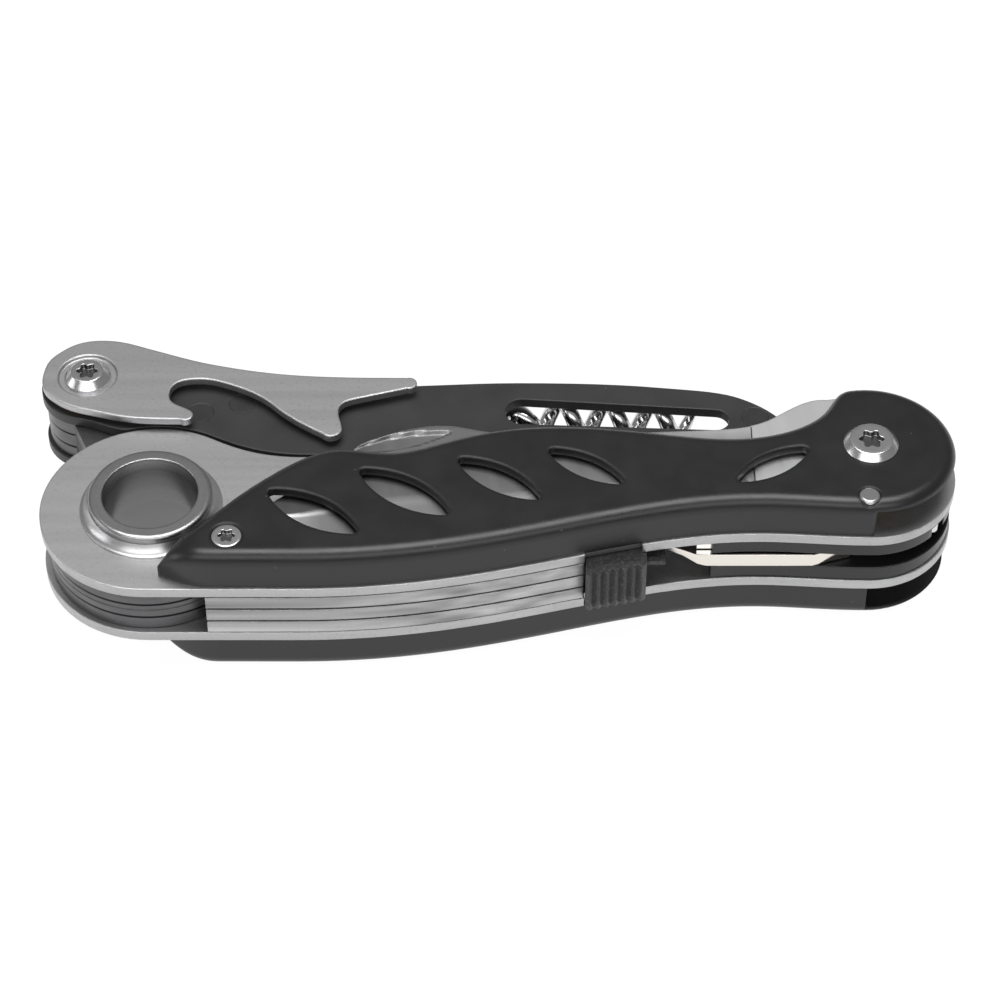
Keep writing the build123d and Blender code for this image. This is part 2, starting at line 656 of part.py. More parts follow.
def lever_barrel():
    """The sleeve through the rear plates, the tang and the lever, with a flat foot below."""
    low = lower_liner_z - 0.9
    body = disc(LEVER, barrel_radius, lower_liner_z, lever_z + lever_thickness - lever_dish)
    body += disc(LEVER, 3.6, low, lower_liner_z)
    return body - disc(LEVER, shank_radius + 0.02, low - 1, top_z)


def lever_washer():
    return ring(LEVER, barrel_radius + 0.02, washer_radius, upper_scale_z, lever_z - running_gap)


def lever_screw():
    seat = lever_z + lever_thickness - lever_dish
    head = chamfered_head(LEVER, lever_head_radius, seat, lever_head_height, lever_head_chamfer)
    return disc(LEVER, shank_radius, lower_liner_z, seat) + head


NODES = {
    "upper_scale": upper_scale,
    "lower_scale": lower_scale,
    "upper_liner": lambda: liner(upper_liner_z),
    "lower_liner": lambda: liner(lower_liner_z),
    "pivot_eyelet": pivot_eyelet,
    "eyelet_clinch_ring": eyelet_clinch_ring,
    "upper_boss_washer": lambda: boss_washer(upper_scale_z),
    "lower_boss_washer": lambda: boss_washer(lower_liner_z - boss_height),
    "back_spring_lower": lambda: back_spring(0),
    "back_spring_middle": lambda: back_spring(1),
    "back_spring_upper": lambda: back_spring(2),
    "spring_rivets": spring_rivets,
    "tool_block": tool_block,
    "block_pins": block_pins,
    "knife_barrel": knife_barrel,
    "knife_screw": knife_screw,
    "knife_washers": knife_washers,
    "lower_pivot_spacer": lower_pivot_spacer,
    "stop_pin": stop_pin,
    "scale_screws": scale_screws,
    "scale_standoffs": scale_standoffs,
    "lock_leaf": lock_leaf,
    "lock_slider": lock_slider,
    "main_blade": main_blade,
    "screwdriver": screwdriver,
    "plier_half_lower": plier_half_lower,
    "plier_half_upper": plier_half_upper,
    "rear_plate_upper": lambda: rear_plate(upper_liner_z),
    "rear_plate_lower": lambda: rear_plate(lower_liner_z),
    "rear_spring": rear_spring,
    "rear_tip_spacer": rear_tip_spacer,
    "rear_rivets": rear_rivets,
    "worm_pin": worm_pin,
    "corkscrew": corkscrew,
    "lever": lever,
    "lever_barrel": lever_barrel,
    "lever_washer": lever_washer,
    "lever_screw": lever_screw,
}


def main():
    os.makedirs("parts", exist_ok=True)
    for name, make in NODES.items():
        piece = make()
        if isinstance(piece, list):
            piece = Compound(children=piece)
        export_step(piece, f"parts/{name}.step")


if __name__ == "__main__":
    main()
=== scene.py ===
import json
import math

import bmesh
import bpy
import numpy as np
from bpy.props import FloatProperty, FloatVectorProperty, PointerProperty
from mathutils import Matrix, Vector
from mathutils.bvhtree import BVHTree

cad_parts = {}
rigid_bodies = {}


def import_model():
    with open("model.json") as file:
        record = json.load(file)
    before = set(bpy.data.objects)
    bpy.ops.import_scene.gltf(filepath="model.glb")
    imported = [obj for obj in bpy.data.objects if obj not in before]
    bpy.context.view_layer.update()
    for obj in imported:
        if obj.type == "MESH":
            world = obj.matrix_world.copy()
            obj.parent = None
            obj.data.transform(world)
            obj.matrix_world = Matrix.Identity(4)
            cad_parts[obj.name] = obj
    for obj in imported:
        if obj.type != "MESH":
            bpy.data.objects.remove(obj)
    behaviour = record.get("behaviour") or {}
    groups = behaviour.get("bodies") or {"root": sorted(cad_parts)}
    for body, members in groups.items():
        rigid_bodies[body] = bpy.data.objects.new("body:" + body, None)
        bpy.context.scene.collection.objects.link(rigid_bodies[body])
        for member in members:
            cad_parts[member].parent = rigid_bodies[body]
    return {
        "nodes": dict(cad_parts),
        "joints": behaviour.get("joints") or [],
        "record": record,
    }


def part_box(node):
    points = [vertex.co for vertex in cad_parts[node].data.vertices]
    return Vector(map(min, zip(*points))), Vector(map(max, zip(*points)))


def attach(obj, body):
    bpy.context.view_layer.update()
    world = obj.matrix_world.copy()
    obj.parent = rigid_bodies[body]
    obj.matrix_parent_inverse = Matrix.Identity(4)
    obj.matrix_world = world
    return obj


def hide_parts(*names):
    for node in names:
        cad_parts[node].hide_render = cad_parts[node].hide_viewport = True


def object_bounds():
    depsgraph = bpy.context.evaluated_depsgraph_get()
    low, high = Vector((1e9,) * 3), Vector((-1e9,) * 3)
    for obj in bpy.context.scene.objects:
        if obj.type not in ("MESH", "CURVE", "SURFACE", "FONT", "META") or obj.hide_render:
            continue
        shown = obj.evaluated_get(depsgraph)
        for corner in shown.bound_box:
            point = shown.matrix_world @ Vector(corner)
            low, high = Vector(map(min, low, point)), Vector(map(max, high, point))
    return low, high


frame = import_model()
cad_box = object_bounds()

bl_info = {
    "name": "Folding Multi Tool",
    "version": (1, 0, 0),
    "blender": (4, 5, 0),
    "location": "3D View > Sidebar > Multi Tool",
    "description": "Builds the finishes, machined pieces and studio of a folding pliers multi tool",
    "category": "Object",
}

MM = 0.001
WHITE = (1.0, 1.0, 1.0, 1.0)
SAME_POINT = 1e-7
FLAT_ENOUGH = math.radians(0.6)


# ---------------------------------------------------------------- settings

class FinishSettings(bpy.types.PropertyGroup):
    """Colours and surface values of the tool's metals and coatings."""
    coating: FloatVectorProperty(
        name="Coating", description="Colour of the satin black coating on the scales",
        subtype="COLOR", size=3, min=0, max=1, default=(0.010, 0.010, 0.011))
    plate_coating: FloatVectorProperty(
        name="Plate coating", description="Colour of the black coating on the rear plates",
        subtype="COLOR", size=3, min=0, max=1, default=(0.024, 0.024, 0.025))
    steel: FloatVectorProperty(
        name="Steel", description="Colour of the bare steel liners and lever",
        subtype="COLOR", size=3, min=0, max=1, default=(0.50, 0.50, 0.505))
    bright_steel: FloatVectorProperty(
        name="Bright steel", description="Colour of polished edges, springs and screws",
        subtype="COLOR", size=3, min=0, max=1, default=(0.72, 0.72, 0.73))
    dark_steel: FloatVectorProperty(
        name="Dark steel", description="Colour of the oxide-darkened plier halves",
        subtype="COLOR", size=3, min=0, max=1, default=(0.15, 0.15, 0.154))
    nickel: FloatVectorProperty(
        name="Nickel", description="Colour of the nickel-plated screwdriver",
        subtype="COLOR", size=3, min=0, max=1, default=(0.80, 0.76, 0.70))
    polymer: FloatVectorProperty(
        name="Polymer", description="Colour of the slide lock's rough polymer",
        subtype="COLOR", size=3, min=0, max=1, default=(0.036, 0.036, 0.038))


class StageSettings(bpy.types.PropertyGroup):
    """Camera and lights."""
    elevation: FloatProperty(
        name="Elevation", description="Camera height above the horizon",
        subtype="ANGLE", default=math.radians(46.0))
    distance: FloatProperty(
        name="Distance", description="Camera distance from the middle of the tool",
        unit="LENGTH", default=0.380)
    overhead: FloatProperty(
        name="Overhead", description="Power of the overhead softbox", unit="POWER", default=4.4)
    front: FloatProperty(
        name="Front", description="Power of the front softbox", unit="POWER", default=2.4)
    side: FloatProperty(
        name="Side", description="Power of the left strip", unit="POWER", default=0.3)
    room: FloatProperty(
        name="Room", description="Brightness of the room in reflections", default=0.25)
    view_width: FloatProperty(
        name="View width", description="Width of the view at that distance",
        unit="LENGTH", default=0.1178)


class PieceSettings(bpy.types.PropertyGroup):
    """Sizes of the pieces that are drawn here."""
    worm_wire: FloatProperty(
        name="Worm wire", description="Radius of the corkscrew's wire", unit="LENGTH", default=0.96 * MM)
    worm_pitch: FloatProperty(
        name="Worm pitch", description="Length of one turn, before the worm is fitted to its reach",
        unit="LENGTH", default=5.65 * MM)
    worm_lift: FloatProperty(
        name="Worm lift", description="How far the worm lies towards the rear handle's open side",
        unit="LENGTH", default=2.1 * MM)
    spring_thinning: FloatProperty(
        name="Spring thinning", description="What each face of a back spring loses, so that gaps show",
        unit="LENGTH", default=0.13 * MM)
    droop_run: FloatProperty(
        name="Droop run", description="Length over which a scale falls to its pointed end", unit="LENGTH",
        default=6.0 * MM)


# ---------------------------------------------------------------- shader node groups

def group(name, inputs, outputs):
    """An empty shader node group with float or vector sockets, and its two end nodes."""
    tree = bpy.data.node_groups.new(name, "ShaderNodeTree")
    for label, kind, value in inputs:
        socket = tree.interface.new_socket(name=label, in_out="INPUT", socket_type=kind)
        if value is not None:
            socket.default_value = value
    for label, kind in outputs:
        tree.interface.new_socket(name=label, in_out="OUTPUT", socket_type=kind)
    return tree, tree.nodes.new("NodeGroupInput"), tree.nodes.new("NodeGroupOutput")


def node(tree, kind, **values):
    """A node whose properties and unlinked inputs are given; a socket as a value is linked."""
    made = tree.nodes.new(kind)
    for key, value in values.items():
        if key.startswith("in_"):
            index = key[3:]
            socket = made.inputs[int(index) if index.isdigit() else index.replace("_", " ")]
            if isinstance(value, bpy.types.NodeSocket):
                tree.links.new(value, socket)
            else:
                socket.default_value = value
        else:
            setattr(made, key, value)
    return made


def maths(tree, operation, a, b=0.0, clamp=False):
    """The output of a Math node on two values or sockets."""
    made = node(tree, "ShaderNodeMath", operation=operation, use_clamp=clamp, in_0=a, in_1=b)
    return made.outputs[0]


def ramp(tree, value, low, high, out_low=0.0, out_high=1.0):
    """A clamped linear map of a value from one range to another."""
    made = node(tree, "ShaderNodeMapRange", in_0=value, in_1=low, in_2=high, in_3=out_low, in_4=out_high)
    return made.outputs[0]


def noise(tree, vector, scale, detail=3.0, roughness=0.55):
    """The value of a noise texture."""
    made = node(tree, "ShaderNodeTexNoise", in_Vector=vector, in_Scale=scale, in_Detail=detail,
                in_Roughness=roughness)
    return made.outputs[0]


def grain_group():
    """Fine isotropic grain of a blasted or coated surface, with a slow mottle."""
    tree, start, end = group(
        "fine grain", [("Vector", "NodeSocketVector", None), ("Scale", "NodeSocketFloat", 4000.0)],
        [("Height", "NodeSocketFloat"), ("Mottle", "NodeSocketFloat")])
    fine = noise(tree, start.outputs["Vector"], start.outputs["Scale"], 2.0)
    slow = noise(tree, start.outputs["Vector"], maths(tree, "MULTIPLY", start.outputs["Scale"], 0.04), 3.0)
    tree.links.new(fine, end.inputs["Height"])
    tree.links.new(slow, end.inputs["Mottle"])
    return tree


def brushing_group():
    """Streaks along local X: noise that is stretched along X, at two widths."""
    tree, start, end = group(
        "brushing", [("Vector", "NodeSocketVector", None), ("Scale", "NodeSocketFloat", 3000.0),
                     ("Stretch", "NodeSocketFloat", 0.02)],
        [("Height", "NodeSocketFloat"), ("Streak", "NodeSocketFloat")])
    squeeze = node(tree, "ShaderNodeCombineXYZ", in_0=start.outputs["Stretch"], in_1=1.0, in_2=1.0).outputs[0]
    along = node(tree, "ShaderNodeVectorMath", operation="MULTIPLY", in_0=start.outputs["Vector"],
                 in_1=squeeze).outputs[0]
    fine = noise(tree, along, start.outputs["Scale"], 2.0)
    broad = noise(tree, along, maths(tree, "MULTIPLY", start.outputs["Scale"], 0.18), 2.0)
    tree.links.new(fine, end.inputs["Height"])
    tree.links.new(ramp(tree, broad, 0.3, 0.7), end.inputs["Streak"])
    return tree


def wear_group():
    """Rubbed edges: where the bevelled normal turns away from the face's own, broken up by noise."""
    tree, start, end = group(
        "edge wear", [("Vector", "NodeSocketVector", None), ("Width", "NodeSocketFloat", 0.00025),
                      ("Amount", "NodeSocketFloat", 1.0)],
        [("Mask", "NodeSocketFloat")])
    bevel = node(tree, "ShaderNodeBevel", samples=4, in_Radius=start.outputs["Width"]).outputs[0]
    flat = node(tree, "ShaderNodeNewGeometry").outputs["Normal"]
    same = node(tree, "ShaderNodeVectorMath", operation="DOT_PRODUCT", in_0=bevel, in_1=flat).outputs["Value"]
    turned = ramp(tree, same, 0.995, 0.90)
    patch = ramp(tree, noise(tree, start.outputs["Vector"], 900.0, 4.0), 0.35, 0.62)
    broken = maths(tree, "MULTIPLY", turned, patch)
    mask = maths(tree, "MULTIPLY", broken, start.outputs["Amount"], clamp=True)
    tree.links.new(mask, end.inputs["Mask"])
    return tree


def dust_group():
    """Sparse pale specks: the middles of a few random cells."""
    tree, start, end = group(
        "dust", [("Vector", "NodeSocketVector", None), ("Amount", "NodeSocketFloat", 0.3)],
        [("Mask", "NodeSocketFloat")])
    cells = node(tree, "ShaderNodeTexVoronoi", in_Vector=start.outputs["Vector"], in_Scale=1400.0)
    dot = ramp(tree, cells.outputs["Distance"], 0.16, 0.08)
    pick = node(tree, "ShaderNodeSeparateColor", in_0=cells.outputs["Color"]).outputs[0]
    chosen = maths(tree, "LESS_THAN", pick, maths(tree, "MULTIPLY", start.outputs["Amount"], 0.2))
    tree.links.new(maths(tree, "MULTIPLY", dot, chosen), end.inputs["Mask"])
    return tree


GROUPS = {}


def use(tree, name, **values):
    """A shared node group placed in a material, with its own values."""
    makers = {"grain": grain_group, "brushing": brushing_group, "wear": wear_group, "dust": dust_group}
    if name not in GROUPS:
        GROUPS[name] = makers[name]()
    return node(tree, "ShaderNodeGroup", node_tree=GROUPS[name], **values)


def mix_colour(tree, factor, a, b):
    """A linear mix of two colours."""
    made = node(tree, "ShaderNodeMix", data_type="RGBA")
    for socket, value in ((made.inputs[0], factor), (made.inputs[6], a), (made.inputs[7], b)):
        if isinstance(value, bpy.types.NodeSocket):
            tree.links.new(value, socket)
        else:
            socket.default_value = value
    return made.outputs[2]


def rgba(colour, gain=1.0):
    """An opaque colour, made lighter or darker by a gain."""
    return (*[channel * gain for channel in colour], 1.0)


def material(name):
    """A new material with its Principled shader, and Object coordinates."""
    made = bpy.data.materials.new(name)
    made.use_nodes = True
    tree = made.node_tree
    shader = tree.nodes["Principled BSDF"]
    place = tree.nodes.new("ShaderNodeTexCoord").outputs["Object"]
    return made, tree, shader, place


# ---------------------------------------------------------------- finishes

def relief(tree, shader, height, depth, rounding):
    """Surface relief over edges that shade as rounded by a small radius."""
    soft = node(tree, "ShaderNodeBevel", samples=6, in_Radius=rounding).outputs[0]
    made = node(tree, "ShaderNodeBump", in_Strength=1.0, in_Distance=depth, in_Height=height,
                in_Normal=soft)
    tree.links.new(made.outputs[0], shader.inputs["Normal"])


DUST_COLOUR, DUST_SHARE = (0.3, 0.3, 0.29, 1.0), 0.25
RUBBED_COLOUR = (0.10, 0.10, 0.10, 1.0)
COAT_RELIEF, COAT_WEAR_WIDTH = 0.004 * MM, 0.16 * MM


def coated(name, colour, roughness, grain_scale=5200.0, wear=0.5, rounding=0.0002):
    """Black coated metal: fine blasted grain, mottled gloss, edges rubbed a little paler, sparse dust."""
    made, tree, shader, place = material(name)
    grain = use(tree, "grain", in_Vector=place, in_Scale=grain_scale)
    worn = use(tree, "wear", in_Vector=place, in_Width=COAT_WEAR_WIDTH, in_Amount=wear).outputs["Mask"]
    dust = use(tree, "dust", in_Vector=place, in_Amount=0.10).outputs["Mask"]
    tone = mix_colour(tree, grain.outputs["Mottle"], rgba(colour, 0.8), rgba(colour, 1.25))
    tone = mix_colour(tree, worn, tone, RUBBED_COLOUR)
    tone = mix_colour(tree, maths(tree, "MULTIPLY", dust, DUST_SHARE), tone, DUST_COLOUR)
    tree.links.new(tone, shader.inputs["Base Color"])
    gloss = ramp(tree, grain.outputs["Mottle"], 0.3, 0.7, roughness - 0.03, roughness + 0.05)
    tree.links.new(gloss, shader.inputs["Roughness"])
    relief(tree, shader, grain.outputs["Height"], COAT_RELIEF, rounding)
    return made


# gains of the speckle pits, rubbed edges, painted shade from a piece's attribute, painted shade inside a bore
# and painted shade in the gaps between plates
PIT_GAIN, EDGE_GAIN, PAINTED_SHADE_GAIN, BORE_SHADE_GAIN, GAP_SHADE_GAIN = 0.5, 1.35, 0.16, 0.34, 0.05
GAP_SHADE_CORE, GAP_SHADE_EDGE = 0.10 * MM, 0.22 * MM
BRUSH_SCALE, SPECK_SCALE = 3200.0, 2600.0
STEEL_RELIEF, STEEL_WEAR_WIDTH = 0.0025 * MM, 0.18 * MM


def steel(name, colour, roughness, turn=0.0, streak=0.25, polish=0.5, grain=0.0, rounding=0.0002,
          centre=None, shaded_gaps=(), deep=None):
    """Bare steel: brushed streaks at an angle or rings about a centre, a tumbled speckle, bright edges.

    A point attribute that a piece carries darkens the steel: painted shade in driver recesses and on the blade
    under the scale, and an even tone on the stop pin. Lines at the gap heights are painted dark, as shade in
    the gaps between stacked plates; between the two depth heights the metal darkens downwards, as painted
    shade inside a bore.
    """
    made, tree, shader, place = material(name)
    if centre is None:
        lines_at = node(tree, "ShaderNodeMapping", in_Vector=place, in_Rotation=(0.0, 0.0, turn)).outputs[0]
    else:
        moved = node(tree, "ShaderNodeVectorMath", operation="SUBTRACT", in_0=place,
                     in_1=(*centre, 0.0)).outputs[0]
        flat = node(tree, "ShaderNodeVectorMath", operation="MULTIPLY", in_0=moved,
                    in_1=(1.0, 1.0, 0.0)).outputs[0]
        reach = node(tree, "ShaderNodeVectorMath", operation="LENGTH", in_0=flat).outputs["Value"]
        height = node(tree, "ShaderNodeSeparateXYZ", in_0=moved).outputs[2]
        lines_at = node(tree, "ShaderNodeCombineXYZ", in_0=0.0, in_1=reach, in_2=height).outputs[0]
    lines = use(tree, "brushing", in_Vector=lines_at, in_Scale=BRUSH_SCALE)
    speck = use(tree, "grain", in_Vector=place, in_Scale=SPECK_SCALE)
    edge = use(tree, "wear", in_Vector=place, in_Width=STEEL_WEAR_WIDTH, in_Amount=polish).outputs["Mask"]
    dull, keen = rgba(colour, 1.0 - streak), rgba(colour, 1.0 + 0.3 * streak)
    shade = mix_colour(tree, lines.outputs["Streak"], dull, keen)
    pitted = ramp(tree, speck.outputs["Height"], 0.55, 0.8, 0.0, grain)
    shade = mix_colour(tree, pitted, shade, rgba(colour, PIT_GAIN))
    shade = mix_colour(tree, edge, shade, rgba(colour, EDGE_GAIN))
    # painted shade: a piece's point attribute darkens the colour (driver recesses, the blade under the scale)
    hollow = node(tree, "ShaderNodeAttribute", attribute_name="hollow").outputs["Fac"]
    shade = mix_colour(tree, hollow, shade, rgba(colour, PAINTED_SHADE_GAIN))
    level = node(tree, "ShaderNodeSeparateXYZ", in_0=place).outputs[2]
    # painted shade: the metal darkens downwards between the two depth heights, standing in for the shade
    # inside a bore
    if deep:
        bore_shade = ramp(tree, level, deep[0], deep[1], 1.0, 0.0)
        shade = mix_colour(tree, bore_shade, shade, rgba(colour, BORE_SHADE_GAIN))
    # painted shade: a dark line at each given height stands in for the shade in the gap between stacked plates
    for gap_height in shaded_gaps:
        off = maths(tree, "ABSOLUTE", maths(tree, "SUBTRACT", level, gap_height))
        line = ramp(tree, off, GAP_SHADE_CORE, GAP_SHADE_EDGE, 1.0, 0.0)
        shade = mix_colour(tree, line, shade, rgba(colour, GAP_SHADE_GAIN))
    tree.links.new(shade, shader.inputs["Base Color"])
    shader.inputs["Metallic"].default_value = 1.0
    rough = ramp(tree, lines.outputs["Streak"], 0.0, 1.0, roughness + 0.05, roughness - 0.03)
    tree.links.new(maths(tree, "SUBTRACT", rough, maths(tree, "MULTIPLY", edge, 0.1), clamp=True),
                   shader.inputs["Roughness"])
    pits = maths(tree, "MULTIPLY", speck.outputs["Height"], 0.6)
    relief(tree, shader, maths(tree, "ADD", lines.outputs["Height"], pits), STEEL_RELIEF, rounding)
    return made


def polymer(name, colour):
    """Rough moulded polymer with a coarse sparkling grain."""
    made, tree, shader, place = material(name)
    grain = use(tree, "grain", in_Vector=place, in_Scale=3000.0)
    sparkle = ramp(tree, grain.outputs["Height"], 0.45, 0.75)
    tone = mix_colour(tree, sparkle, rgba(colour, 0.6), rgba(colour, 1.8))
    tree.links.new(tone, shader.inputs["Base Color"])
    shader.inputs["Roughness"].default_value = 0.42
    relief(tree, shader, grain.outputs["Height"], 0.02 * MM, 0.1 * MM)
    return made


def middle(name):
    """The centre of a node's box, in plan."""
    lo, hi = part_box(name)
    return ((lo[0] + hi[0]) / 2, (lo[1] + hi[1]) / 2)


def build_finishes(settings):
    """Every finish by the name of the record's material slot it belongs to."""
    bright, plain = settings.bright_steel, settings.steel
    # heights between which the eyelet's bore is painted darker downwards, as shade
    bore_shade_depths = (14.2 * MM, 15.4 * MM)
    # heights of the gaps between the stacked plier plates, where dark lines are painted as shade
    plate_gap_heights = (8.15 * MM, 10.2 * MM)
    bronze = (0.55, 0.40, 0.22)
    return {
        "black_scale": coated("satin black scale", settings.coating, 0.32, wear=0.2, rounding=0.0006),
        "black_block": coated("moulded black block", settings.coating, 0.26, grain_scale=2600.0, wear=0.2),
        "black_plate": coated("black coated plate", settings.plate_coating, 0.42, wear=0.4),
        "black_rivet": coated("burnished rivet", settings.plate_coating, 0.36, wear=0.5, rounding=0.0001),
        "brushed_liner": steel("brushed liner", plain, 0.42, streak=0.10, polish=1.0, grain=0.35,
                               rounding=0.00022),
        "lever_steel": steel("tumbled lever steel", plain, 0.42, streak=0.08, polish=1.0, grain=0.45,
                             rounding=0.0003),
        "eyelet_steel": steel("turned eyelet steel", plain, 0.28, streak=0.4, grain=0.5,
                              centre=middle("pivot_eyelet"), rounding=0.0003, deep=bore_shade_depths),
        "boss_steel": steel("turned washer steel", bright, 0.30, streak=0.3, grain=0.3,
                            centre=middle("pivot_eyelet"), rounding=0.0002),
        "spring_steel": steel("bright spring steel", plain, 0.40, streak=0.5, grain=0.25, rounding=0.0003),
        "sleeve_steel": steel("turned sleeve steel", plain, 0.28, centre=middle("knife_barrel")),
        "polished_screw": steel("polished screw", bright, 0.24, streak=0.2, centre=middle("stop_pin"),
                                rounding=0.0001),
        "blade_steel": steel("ground blade steel", bright, 0.42, turn=math.radians(80), streak=0.12,
                             grain=0.1),
        "plier_steel": steel("dark tumbled plier steel", settings.dark_steel, 0.36, streak=0.15, grain=0.4,
                             rounding=0.0003, shaded_gaps=plate_gap_heights),
        "worm_steel": steel("drawn worm steel", bright, 0.16, streak=0.1),
        "nickel_plate": steel("nickel plate", settings.nickel, 0.13, streak=0.04, rounding=0.00015),
        "bearing_washer": steel("bronze washer", bronze, 0.35),
        "slider_polymer": polymer("slide lock polymer", settings.polymer),
    }


# The finishes by slot, each node's slot and body, and the width of each rolled edge.
FINISHES = {}
SLOT_OF = {entry["node"]: entry["material_slot"] for entry in frame["record"]["subparts"]}
BODY_OF = {name: obj.parent.name.split(":", 1)[1] for name, obj in frame["nodes"].items()}
ROLLED = {
    "lever": 0.45 * MM,
    "back_spring_lower": 0.25 * MM, "back_spring_middle": 0.25 * MM, "back_spring_upper": 0.25 * MM,
    "rear_plate_upper": 0.45 * MM, "rear_plate_lower": 0.2 * MM,
    "upper_liner": 0.22 * MM, "lower_liner": 0.22 * MM,
    "plier_half_lower": 0.3 * MM, "plier_half_upper": 0.3 * MM,
    "tool_block": 0.1 * MM,
}


def dress(obj, slot):
    """Gives every material slot of an object the finish of that name."""
    if not obj.data.materials:
        obj.data.materials.append(FINISHES[slot])
    for index in range(len(obj.material_slots)):
        obj.material_slots[index].material = FINISHES[slot]


# ---------------------------------------------------------------- stage

def area_light(name, place, aim, size, power):
    """A rectangular soft light that faces a point."""
    data = bpy.data.lights.new(name, "AREA")
    data.shape = "RECTANGLE"
    data.size, data.size_y = size
    data.energy = power
    lamp = bpy.data.objects.new(name, data)
    lamp.location = place
    lamp.rotation_euler = (Vector(aim) - Vector(place)).to_track_quat("-Z", "Y").to_euler()
    bpy.context.scene.collection.objects.link(lamp)


def white_to_camera(name, colour, share):
    """A matt floor, partly plain white to the camera and to reflections, so it keeps a faint shadow."""
    made, tree, shader = material(name)[:3]
    shader.inputs["Base Color"].default_value = rgba(colour)
    shader.inputs["Roughness"].default_value = 0.9
    shader.inputs["Specular IOR Level"].default_value = 0.0
    path = node(tree, "ShaderNodeLightPath")
    seen = maths(tree, "MAXIMUM", path.outputs["Is Camera Ray"], path.outputs["Is Transmission Ray"])
    seen = maths(tree, "MAXIMUM", seen, path.outputs["Is Glossy Ray"])
    glow = node(tree, "ShaderNodeEmission", in_Color=WHITE, in_Strength=1.04)
    blend = node(tree, "ShaderNodeMixShader", in_0=maths(tree, "MULTIPLY", seen, share),
                 in_1=shader.outputs[0], in_2=glow.outputs[0])
    tree.links.new(blend.outputs[0], tree.nodes["Material Output"].inputs["Surface"])
    return made


class MULTITOOL_OT_stage(bpy.types.Operator):
    """Makes the pale floor, the soft lights, the world and the camera"""
    bl_idname = "multitool.stage"
    bl_label = "Stage"

    def execute(self, context):
        settings = context.scene.multitool_stage
        reach = 3.0
        grid = np.linspace(-reach, reach, 3)
        x, y = np.meshgrid(grid, grid)
        points = np.stack([x, y, np.zeros_like(x)], axis=-1)
        floor = surface("floor", points)
        floor.data.materials.append(white_to_camera("pale floor", (0.86, 0.86, 0.86), 0.93))

        world = bpy.data.worlds.new("soft room")
        context.scene.world = world
        world.use_nodes = True
        tree = world.node_tree
        back = tree.nodes["Background"]
        path = node(tree, "ShaderNodeLightPath")
        back.inputs[0].default_value = WHITE
        strength = ramp(tree, path.outputs["Is Camera Ray"], 0.0, 1.0, settings.room, 1.0)
        tree.links.new(strength, back.inputs[1])

        centre = (0.0, 0.0, 0.01)
        area_light("overhead softbox", (0.0, 0.05, 0.70), centre, (0.60, 0.40), settings.overhead)
        area_light("front softbox", (-0.05, -0.58, 0.54), centre, (1.0, 0.34), settings.front)
        area_light("left strip", (-0.60, -0.05, 0.20), centre, (0.30, 0.12), settings.side)

        lo, hi = cad_box
        aim = Vector((0.9 * MM, -1.1 * MM, (lo.z + hi.z) / 2 - 0.75 * MM))
        back_way = Vector((0.0, -math.cos(settings.elevation), math.sin(settings.elevation)))
        data = bpy.data.cameras.new("camera")
        data.sensor_width = 36.0
        data.lens = 36.0 * settings.distance / settings.view_width
        data.clip_start, data.clip_end = 0.01, 10.0
        camera = bpy.data.objects.new("camera", data)
        camera.location = aim + back_way * settings.distance
        camera.rotation_euler = (-back_way).to_track_quat("-Z", "Y").to_euler()
        context.scene.collection.objects.link(camera)
        context.scene.camera = camera
        context.scene.view_settings.view_transform = "Standard"
        return {"FINISHED"}


# ---------------------------------------------------------------- surfaces

def in_scene(name, mesh):
    """A mesh as an object of the scene."""
    obj = bpy.data.objects.new(name, mesh)
    bpy.context.scene.collection.objects.link(obj)
    return obj


def shade_smooth(mesh):
    """Marks every face of a mesh as smooth."""
    mesh.polygons.foreach_set("use_smooth", np.full(len(mesh.polygons), True))


def coordinates(mesh):
    """A mesh's points as an array, n by 3."""
    points = np.empty(len(mesh.vertices) * 3)
    mesh.vertices.foreach_get("co", points)
    return points.reshape(-1, 3)


def mark_painted_shade(mesh, values):
    """Gives a mesh the point attribute of painted shade and tone, which darkens steel, from an array in the
    order of its points.
    """
    mesh.attributes.new("hollow", "FLOAT", "POINT").data.foreach_set("value", values.ravel())


def surface(name, points, wrap_u=False, wrap_v=False, capped=False):
    """A mesh object from an array of points (rows by columns by 3): each cell is a quad.

    Wrapping joins the last row or column to the first, and capping closes the first and last rows.
    """
    rows, columns = points.shape[:2]
    index = np.arange(rows * columns).reshape(rows, columns)
    if wrap_u:
        index = np.vstack([index, index[:1]])
    if wrap_v:
        index = np.hstack([index, index[:, :1]])
    cells = np.stack([index[:-1, :-1], index[:-1, 1:], index[1:, 1:], index[1:, :-1]], axis=-1)
    faces = cells.reshape(-1, 4).tolist()
    if capped:
        faces.append(np.arange(columns)[::-1].tolist())
        faces.append((np.arange(columns) + (rows - 1) * columns).tolist())
    mesh = bpy.data.meshes.new(name)
    mesh.from_pydata(points.reshape(-1, 3).tolist(), [], faces)
    mesh.validate()
    shade_smooth(mesh)
    return in_scene(name, mesh)


